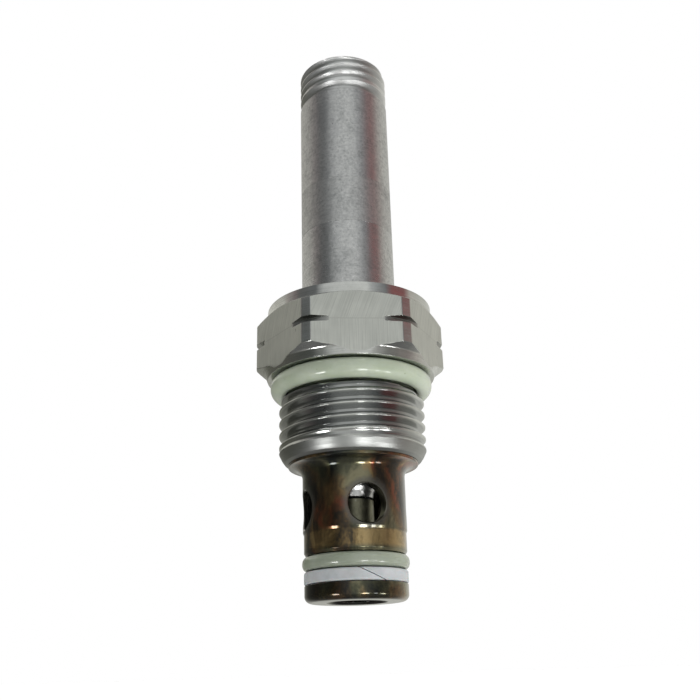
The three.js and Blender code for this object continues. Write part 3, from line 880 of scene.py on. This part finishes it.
def make_guide_tube(metal):
    """Lower tube, with a flange that the adapter holds down."""
    joint = BRAZE[0] - 0.01
    outline = [
        (TUBE_BORE, TUBE_FOOT, 0.1),
        (SOCKET_R - GAP, TUBE_FOOT),
        (SOCKET_R - GAP, TUBE_FLANGE),
        (TUBE_R - GAP, TUBE_FLANGE, 0.1),
        (TUBE_R - GAP, COLLAR_TOP + 0.1),
        (TUBE_R, COLLAR_TOP + 0.2),
        (TUBE_R, joint, 0.025),
        (TUBE_BORE, joint, 0.02),
    ]
    return turned("lower_tube", outline, [metal])


def make_nonmagnetic_ring(metal):
    """The ring that keeps the magnet's flux out of the tube's wall."""
    outline = [
        (TUBE_BORE, BRAZE[0]),
        (TUBE_R, BRAZE[0], 0.025),
        (TUBE_R, BRAZE[1], 0.025),
        (TUBE_BORE, BRAZE[1]),
    ]
    return turned("braze_ring", outline, [metal], 0.02)


def make_pole_piece(metal):
    """Fixed core with the coil nut's thread on its upper end."""
    angles = np.arange(SIDES) * TAU / SIDES
    low, top = SHOULDER + 0.75, POLE[1]
    joint = BRAZE[1] + 0.01
    root, crest = COIL_THREAD["root"], COIL_THREAD["crest"]
    end = (5.72, top - 0.05)
    envelope = [(root, low), (crest, low + 0.5), (crest, top - 0.62), end]
    lower = [
        (0, POLE_POCKET + 0.5),
        (POCKET_R, POLE_POCKET, 0.1),
        (POCKET_R, POLE[0], 0.1),
        (TUBE_BORE - GAP, POLE[0], 0.15),
        (TUBE_BORE - GAP, joint),
        (TUBE_R, joint, 0.025),
        (TUBE_R, SHOULDER - 0.25, 0.1),
        (TUBE_R - 0.25, SHOULDER, 0.1),
        (root, SHOULDER + 0.25, 0.1),
        (root, low),
    ]
    upper = [end, (5.65, top, 0.03), (1.0, top, 0.05), (0, top - 0.9)]
    bm = bmesh.new()
    wrap_thread(bm, COIL_THREAD, envelope, low, end[1], angles)
    wrap(bm, [ring(r, z, angles) for r, z in rounded(lower, 0.05, False)], False)
    wrap(bm, [ring(r, z, angles) for r, z in rounded(upper, 0.05, False)], False)
    return finished("core", bm, [metal])


def make_poppet(metal):
    """Main poppet: a land that closes the seat, a groove, a cone and the guided upper part."""
    low, top = POPPET
    groove_low, groove_high = POPPET_GROOVE
    floor = POPPET_POCKET["floor"]
    insert_hole = INSERT_R + 0.03
    outline = [
        (POPPET_DRILL_R, low),
        (1.6, low, 0.05),
        (POPPET_LAND_R, SEAT + 0.31, 0.04),
        (POPPET_LAND_R, groove_low, 0.03),
        (POPPET_GROOVE_R, groove_low + 0.03, 0.02),
        (POPPET_GROOVE_R, groove_high - 0.03, 0.02),
        (2.4, groove_high, 0.03),
        (2.55, 13.3, 0.3),
        (2.95, 14.2, 0.4),
        (3.65, 15.0, 0.4),
        (CHAMBER_R - GAP, 15.5, 0.15),
        (CHAMBER_R - GAP, top, 0.2),
        (POPPET_POCKET["outer"], top),
        (POPPET_POCKET["outer"], floor, 0.2),
        (POPPET_POCKET["inner"], floor, 0.2),
        (POPPET_POCKET["inner"], top, 0.1),
        (insert_hole, top),
        (insert_hole, INSERT[0] - 0.03),
        (POPPET_DRILL_R, INSERT[0] - 0.03),
    ]
    return turned("poppet_body", outline, [metal], 0.04, 160)


def make_pilot_seat(metal):
    """Insert with the pilot orifice and a raised lip for the pin."""
    low, top = INSERT
    outline = [
        (ORIFICE_R, low),
        (INSERT_R, low, 0.1),
        (INSERT_R, top - 0.25, 0.05),
        (INSERT_R - 0.25, top, 0.03),
        (ORIFICE_R + 0.22, top, 0.02),
        (ORIFICE_R, top - 0.3, 0.02),
    ]
    return turned("pilot_insert", outline, [metal], 0.05, 96)


def make_pilot_pin(metal):
    """Pin with a tapered tip, drilled for the cross pin."""
    low, top = PILOT_PIN
    outline = [
        (0, low),
        (PIN_TIP_R, low + 0.05, 0.06),
        (PIN_R, low + 0.85, 0.1),
        (PIN_R, top, 0.15),
        (0, top),
    ]
    piece = turned("pin_body", outline, [metal], 0.05, 96)
    cut_away(piece, pin_drill())
    return piece


def rod(name, radius, length, materials, fillet=0.1):
    """A round rod along X through the cross pin's place, with eased ends."""
    outline = [(0, -length / 2), (radius, -length / 2), (radius, length / 2), (0, length / 2)]
    piece = turned(name, outline, materials, fillet, 48)
    piece.data.transform(placed(0, 0, CROSS_PIN["height"]) @ Matrix.Rotation(math.pi / 2, 4, "Y"))
    return piece


def pin_drill():
    """The cross pin's hole, as a cutter."""
    return rod("cutter", CROSS_PIN["hole"], 12, [], 0.01)


def make_armature(metal):
    """Plunger with a pocket for the return spring, two oil slots and the holes for both pins."""
    low, top = ARMATURE
    radius = TUBE_BORE - 0.1
    pin_hole = PIN_R + GAP
    outline = [
        (0, PILOT_PIN[1] + 0.6),
        (pin_hole, PILOT_PIN[1] + 0.1),
        (pin_hole, low, 0.1),
        (radius - 0.4, low),
        (radius, low + 0.4),
        (radius, top - 0.3),
        (radius - 0.3, top),
        (POCKET_R, top, 0.15),
        (POCKET_R, ARMATURE_POCKET, 0.1),
        (0, ARMATURE_POCKET - 0.6),
    ]
    piece = turned("plunger", outline, [metal], 0.08)
    slot = (OIL_SLOT["depth"], OIL_SLOT["width"], OIL_SLOT["length"])
    for side in (1, -1):
        cut_away(piece, box_cutter(slot, placed(0, side * radius, OIL_SLOT["middle"])))
    cut_away(piece, pin_drill())
    return piece


def washer(name, node, bore, outer, material, fillet):
    """A flat ring as thick as its CAD node."""
    low, top = station(node)
    outline = [(bore, low), (outer, low), (outer, top), (bore, top)]
    return turned(name, outline, [material], fillet, 160)


def make_retainer(metal):
    """Washer between the tube's foot and the cage."""
    return washer("retainer_washer", "spring_retainer", 2.7, SOCKET_R - GAP, metal, 0.12)


def make_shim(metal):
    """Thin washer that keeps the armature from sticking to the pole piece."""
    return washer("shim_washer", "residual_shim", 2.4, 4.9, metal, 0.04)


def make_lock_ring(metal):
    """Open wire ring that locks the cage in the adapter."""
    low, top = station("cage_lock_ring")
    middle = (low + top) / 2
    radius = LOCK_RING["radius"]
    piece = torus("lock_wire", radius, LOCK_RING["half_width"], (top - low) / 2, middle, metal)
    cut_away(piece, box_cutter((3, LOCK_RING["opening"], 2), placed(radius, 0, middle)))
    return piece


def make_backup_ring(plastic):
    """Spiral-cut ring, its slanting joint towards the front."""
    low, top = BACKUP
    outline = [
        (SEAL_FLOOR + 0.07, low),
        (LAND_R + 0.03, low, 0.3),
        (LAND_R + 0.03, top, 0.3),
        (SEAL_FLOOR + 0.07, top),
    ]
    piece = turned("spiral_ring", outline, [plastic])
    slant = Matrix.Rotation(BACKUP_JOINT["slant"], 4, "Y")
    joint = placed(BACKUP_JOINT["across"], 0.5 - LAND_R, (low + top) / 2) @ slant
    cut_away(piece, box_cutter((5.0, 3.4, BACKUP_JOINT["width"]), joint))
    return piece


def seal(name, node, flat, material, sag=0.0):
    """A seal ring that fills its CAD node's box."""
    low, top = station(node)
    outer = reach(node)
    half = (top - low) / 2
    return torus(name, outer - half, half, half, low + half, material, flat, sag)


def make_cross_pin(wire):
    return rod("roll_pin", CROSS_PIN["radius"], CROSS_PIN["length"], [wire])


def build_valve():
    """Makes every piece and hangs it on its body of the frame."""
    tube = tube_steel("tube_steel", 0.24, 0.36)
    braze = tube_steel("stainless_steel", 0.36, 0.46)
    core = tube_steel("core_steel", 0.29, 0.40)
    zinc, milled, cage_metal = turned_zinc(), milled_zinc(), tempered_steel()
    ground, poppet_metal, wire, brass = ground_steel(), poppet_steel(), wire_steel(), bronze()
    rubber = seal_rubber("seal_rubber", 0.66)
    # A darker copy of the seal rubber, for the nose ring.
    darker_rubber = seal_rubber("darker_rubber", 0.43)
    plastic = ptfe()
    return_coil = coil_spring("return_coil", RETURN_COIL, RETURN_SPRING, wire)
    poppet_coil = coil_spring("poppet_coil", POPPET_COIL, POPPET_SPRING, wire)
    made = {
        "valve_body": [
            (make_adapter(milled, zinc), "hex_adapter", "zinc_plated_steel"),
            (make_cage(cage_metal), "cage", "tempered_steel"),
            (make_lock_ring(wire), "cage_lock_ring", "spring_steel"),
            (seal("sleeve_seal", "cage_seal", 2, rubber), "cage_seal", "seal_rubber"),
            (make_retainer(ground), "spring_retainer", "ground_steel"),
            (make_guide_tube(tube), "guide_tube", "tube_steel"),
            (seal("tube_ring", "tube_seal", 2, rubber), "tube_seal", "seal_rubber"),
            (make_nonmagnetic_ring(braze), "nonmagnetic_ring", "tube_steel"),
            (make_pole_piece(core), "pole_piece", "tube_steel"),
            (make_shim(brass), "residual_shim", "bronze"),
            (seal("neck_seal", "adapter_o_ring", 2.25, rubber, 0.4), "adapter_o_ring", "seal_rubber"),
            (seal("nose_seal", "nose_o_ring", 2.4, darker_rubber), "nose_o_ring", "seal_rubber"),
            (make_backup_ring(plastic), "nose_backup_ring", "ptfe"),
            (return_coil, "return_spring", "spring_steel"),
            (poppet_coil, "poppet_spring", "spring_steel"),
        ],
        "armature": [
            (make_armature(ground), "armature", "ground_steel"),
            (make_pilot_pin(ground), "pilot_pin", "ground_steel"),
            (make_cross_pin(wire), "armature_cross_pin", "spring_steel"),
        ],
        "poppet": [
            (make_poppet(poppet_metal), "main_poppet", "ground_steel"),
            (make_pilot_seat(brass), "pilot_seat", "bronze"),
        ],
    }
    for body, pieces in made.items():
        for piece, node, slot in pieces:
            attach(piece, body)
            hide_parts(node)
    squashed = (
        (return_coil, "armature_lift", RETURN_SPRING),
        (poppet_coil, "poppet_lift", POPPET_SPRING),
    )
    for piece, joint, (low, top) in squashed:
        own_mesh(piece)


# ---- studio ------------------------------------------------------------------------------------
FLOOR_DROP = 30.0


def make_floor():
    """A wide pale floor below the nose. Polished parts mirror the room instead of the floor."""
    bm = bmesh.new()
    angles = np.arange(96) * TAU / 96
    wrap(bm, [ring(r, -FLOOR_DROP, angles) for r in (0.0, 200.0, 800.0, 4000.0)], False)
    n = Nodes("floor_paint")
    cloud = n.noise(0.01, 3, 0.5)
    colour = n.ramp(cloud, [(0.3, (0.86, 0.86, 0.86)), (0.7, (0.9, 0.9, 0.9))])
    n.set(Base_Color=colour, Roughness=0.9)
    floor = finished("floor", bm, [n.material])
    floor.visible_glossy = False


# The room as the polished parts see it, in bands from the ground up. Each band has the sines of the
# elevations between which it takes over from the band below, and its colours as (azimuth in degrees,
# red, green, blue), where azimuth -90 is behind the camera.
ROOM = [
    ((-1.1, -1.05), [
        (-180, 0.16, 0.16, 0.16), (-160, 0.30, 0.30, 0.29), (-20, 0.30, 0.30, 0.29),
        (20, 0.13, 0.13, 0.13), (62, 0.14, 0.14, 0.14), (80, 0.30, 0.30, 0.30),
        (104, 0.30, 0.30, 0.30), (122, 0.14, 0.14, 0.14), (180, 0.16, 0.16, 0.16),
    ]),
    ((-0.8, -0.4), [
        (-180, 0.09, 0.09, 0.08), (-140, 0.07, 0.075, 0.07), (-124, 0.24, 0.25, 0.24),
        (-110, 0.56, 0.57, 0.56), (-66, 0.60, 0.61, 0.60), (-54, 0.38, 0.38, 0.37),
        (-38, 0.19, 0.19, 0.18), (-8, 0.24, 0.21, 0.20), (6, 0.42, 0.39, 0.36),
        (22, 0.55, 0.54, 0.50), (60, 0.66, 0.66, 0.62), (88, 0.50, 0.50, 0.46),
        (112, 0.26, 0.26, 0.23), (134, 0.12, 0.12, 0.10), (180, 0.09, 0.09, 0.08),
    ]),
    ((0.31, 0.345), [
        (-180, 0.30, 0.31, 0.30), (-166, 0.14, 0.15, 0.15), (-138, 0.12, 0.13, 0.13),
        (-122, 0.40, 0.41, 0.41), (-110, 0.62, 0.63, 0.62), (-66, 0.62, 0.63, 0.62),
        (-54, 0.40, 0.40, 0.39), (-38, 0.22, 0.21, 0.205), (-8, 0.27, 0.24, 0.23),
        (6, 0.42, 0.39, 0.36), (22, 0.58, 0.57, 0.52), (60, 0.66, 0.66, 0.62),
        (130, 0.90, 0.89, 0.82), (165, 0.90, 0.89, 0.82), (180, 0.40, 0.41, 0.38),
    ]),
    ((0.372, 0.388), [
        (-180, 0.30, 0.28, 0.27), (-170, 0.24, 0.20, 0.20), (-162, 0.13, 0.13, 0.13),
        (-136, 0.13, 0.135, 0.14), (-122, 0.52, 0.53, 0.53), (-66, 0.66, 0.67, 0.66),
        (-56, 0.40, 0.41, 0.42), (-36, 0.19, 0.20, 0.21), (-28, 0.25, 0.10, 0.10),
        (-6, 0.25, 0.10, 0.10), (4, 0.45, 0.42, 0.39), (22, 0.56, 0.55, 0.51),
        (60, 0.64, 0.64, 0.60), (130, 0.50, 0.49, 0.45), (165, 0.46, 0.45, 0.42),
        (180, 0.30, 0.26, 0.25),
    ]),
    ((0.66, 0.74), [
        (-180, 0.22, 0.22, 0.22), (-140, 0.18, 0.18, 0.18), (-110, 0.56, 0.57, 0.56),
        (-66, 0.60, 0.61, 0.60), (-30, 0.28, 0.28, 0.28), (60, 0.60, 0.60, 0.57),
        (130, 0.44, 0.44, 0.41), (180, 0.22, 0.22, 0.22),
    ]),
]


def make_world():
    """The room for reflections and soft light, and plain white where the camera looks at it."""
    world = bpy.data.worlds.new("studio")
    bpy.context.scene.world = world
    world.use_nodes = True
    n = Tree(world.node_tree)
    background = n.tree.nodes["Background"]
    coordinates = n.add("ShaderNodeTexCoord")
    split = n.add("ShaderNodeSeparateXYZ")
    n.put(split.inputs[0], coordinates.outputs["Generated"])
    azimuth = n.math("ARCTAN2", split.outputs["Y"], split.outputs["X"])
    share = n.remap(azimuth, -math.pi, math.pi)
    room = None
    for (low, high), colours in ROOM:
        stops = [((degrees + 180) / 360, colour) for degrees, *colour in colours]
        band = n.ramp(share, stops)
        room = n.mix(n.remap(split.outputs["Z"], low, high), room, band) if room else band
    seen = n.add("ShaderNodeLightPath").outputs["Is Camera Ray"]
    n.put(background.inputs["Color"], n.mix(seen, room, grey(1.0)))


def soft_light(name, azimuth, distance, height, size, power, mirrored=True):
    """A round area light aimed at the valve. Polished surfaces mirror it, or else it lights dull ones."""
    turn = math.radians(azimuth)
    place = (distance * math.cos(turn), distance * math.sin(turn), height)
    data = bpy.data.lights.new(name, "AREA")
    data.shape = "DISK"
    data.size = size * MM
    data.energy = power
    light = bpy.data.objects.new(name, data)
    light.location = Vector(place) * MM
    towards = Vector((0, 0, 20)) * MM - light.location
    light.rotation_euler = towards.to_track_quat("-Z", "Y").to_euler()
    light.visible_glossy = mirrored
    light.visible_diffuse = not mirrored
    bpy.context.scene.collection.objects.link(light)


def make_sun():
    """Wide light from straight above, for dull surfaces only."""
    data = bpy.data.lights.new("overhead", "SUN")
    data.energy = 2.6
    data.angle = math.radians(60)
    sun = bpy.data.objects.new("overhead", data)
    sun.visible_glossy = False
    bpy.context.scene.collection.objects.link(sun)


def make_camera():
    """The photograph's viewpoint: close, a little below the nose, looking up along the valve."""
    distance, height, pitch, roll = 109.19, -7.6, 20.257, 1.60
    data = bpy.data.cameras.new("camera")
    data.sensor_width = 36
    data.lens = 44.52
    data.clip_start = 0.005
    data.clip_end = 20
    camera = bpy.data.objects.new("camera", data)
    tilt = Matrix.Rotation(math.radians(90 + pitch), 4, "X") @ Matrix.Rotation(math.radians(-roll), 4, "Z")
    camera.matrix_world = placed(0, -distance, height) @ tilt
    bpy.context.scene.collection.objects.link(camera)
    bpy.context.scene.camera = camera


make_camera()
build_valve()
make_floor()
make_world()
soft_light("left glow", azimuth=-137, distance=56, height=-26, size=16, power=0.008)
soft_light("right glow", azimuth=-71, distance=56, height=-26, size=16, power=0.008)
soft_light("side glow", azimuth=-48, distance=56, height=-24, size=9, power=0.002)
soft_light("far glow", azimuth=-30, distance=56, height=-26, size=13, power=0.004)
soft_light("right fill", azimuth=-28, distance=95, height=10, size=60, power=0.042, mirrored=False)
make_sun()
bpy.context.scene.view_settings.view_transform = "Standard"
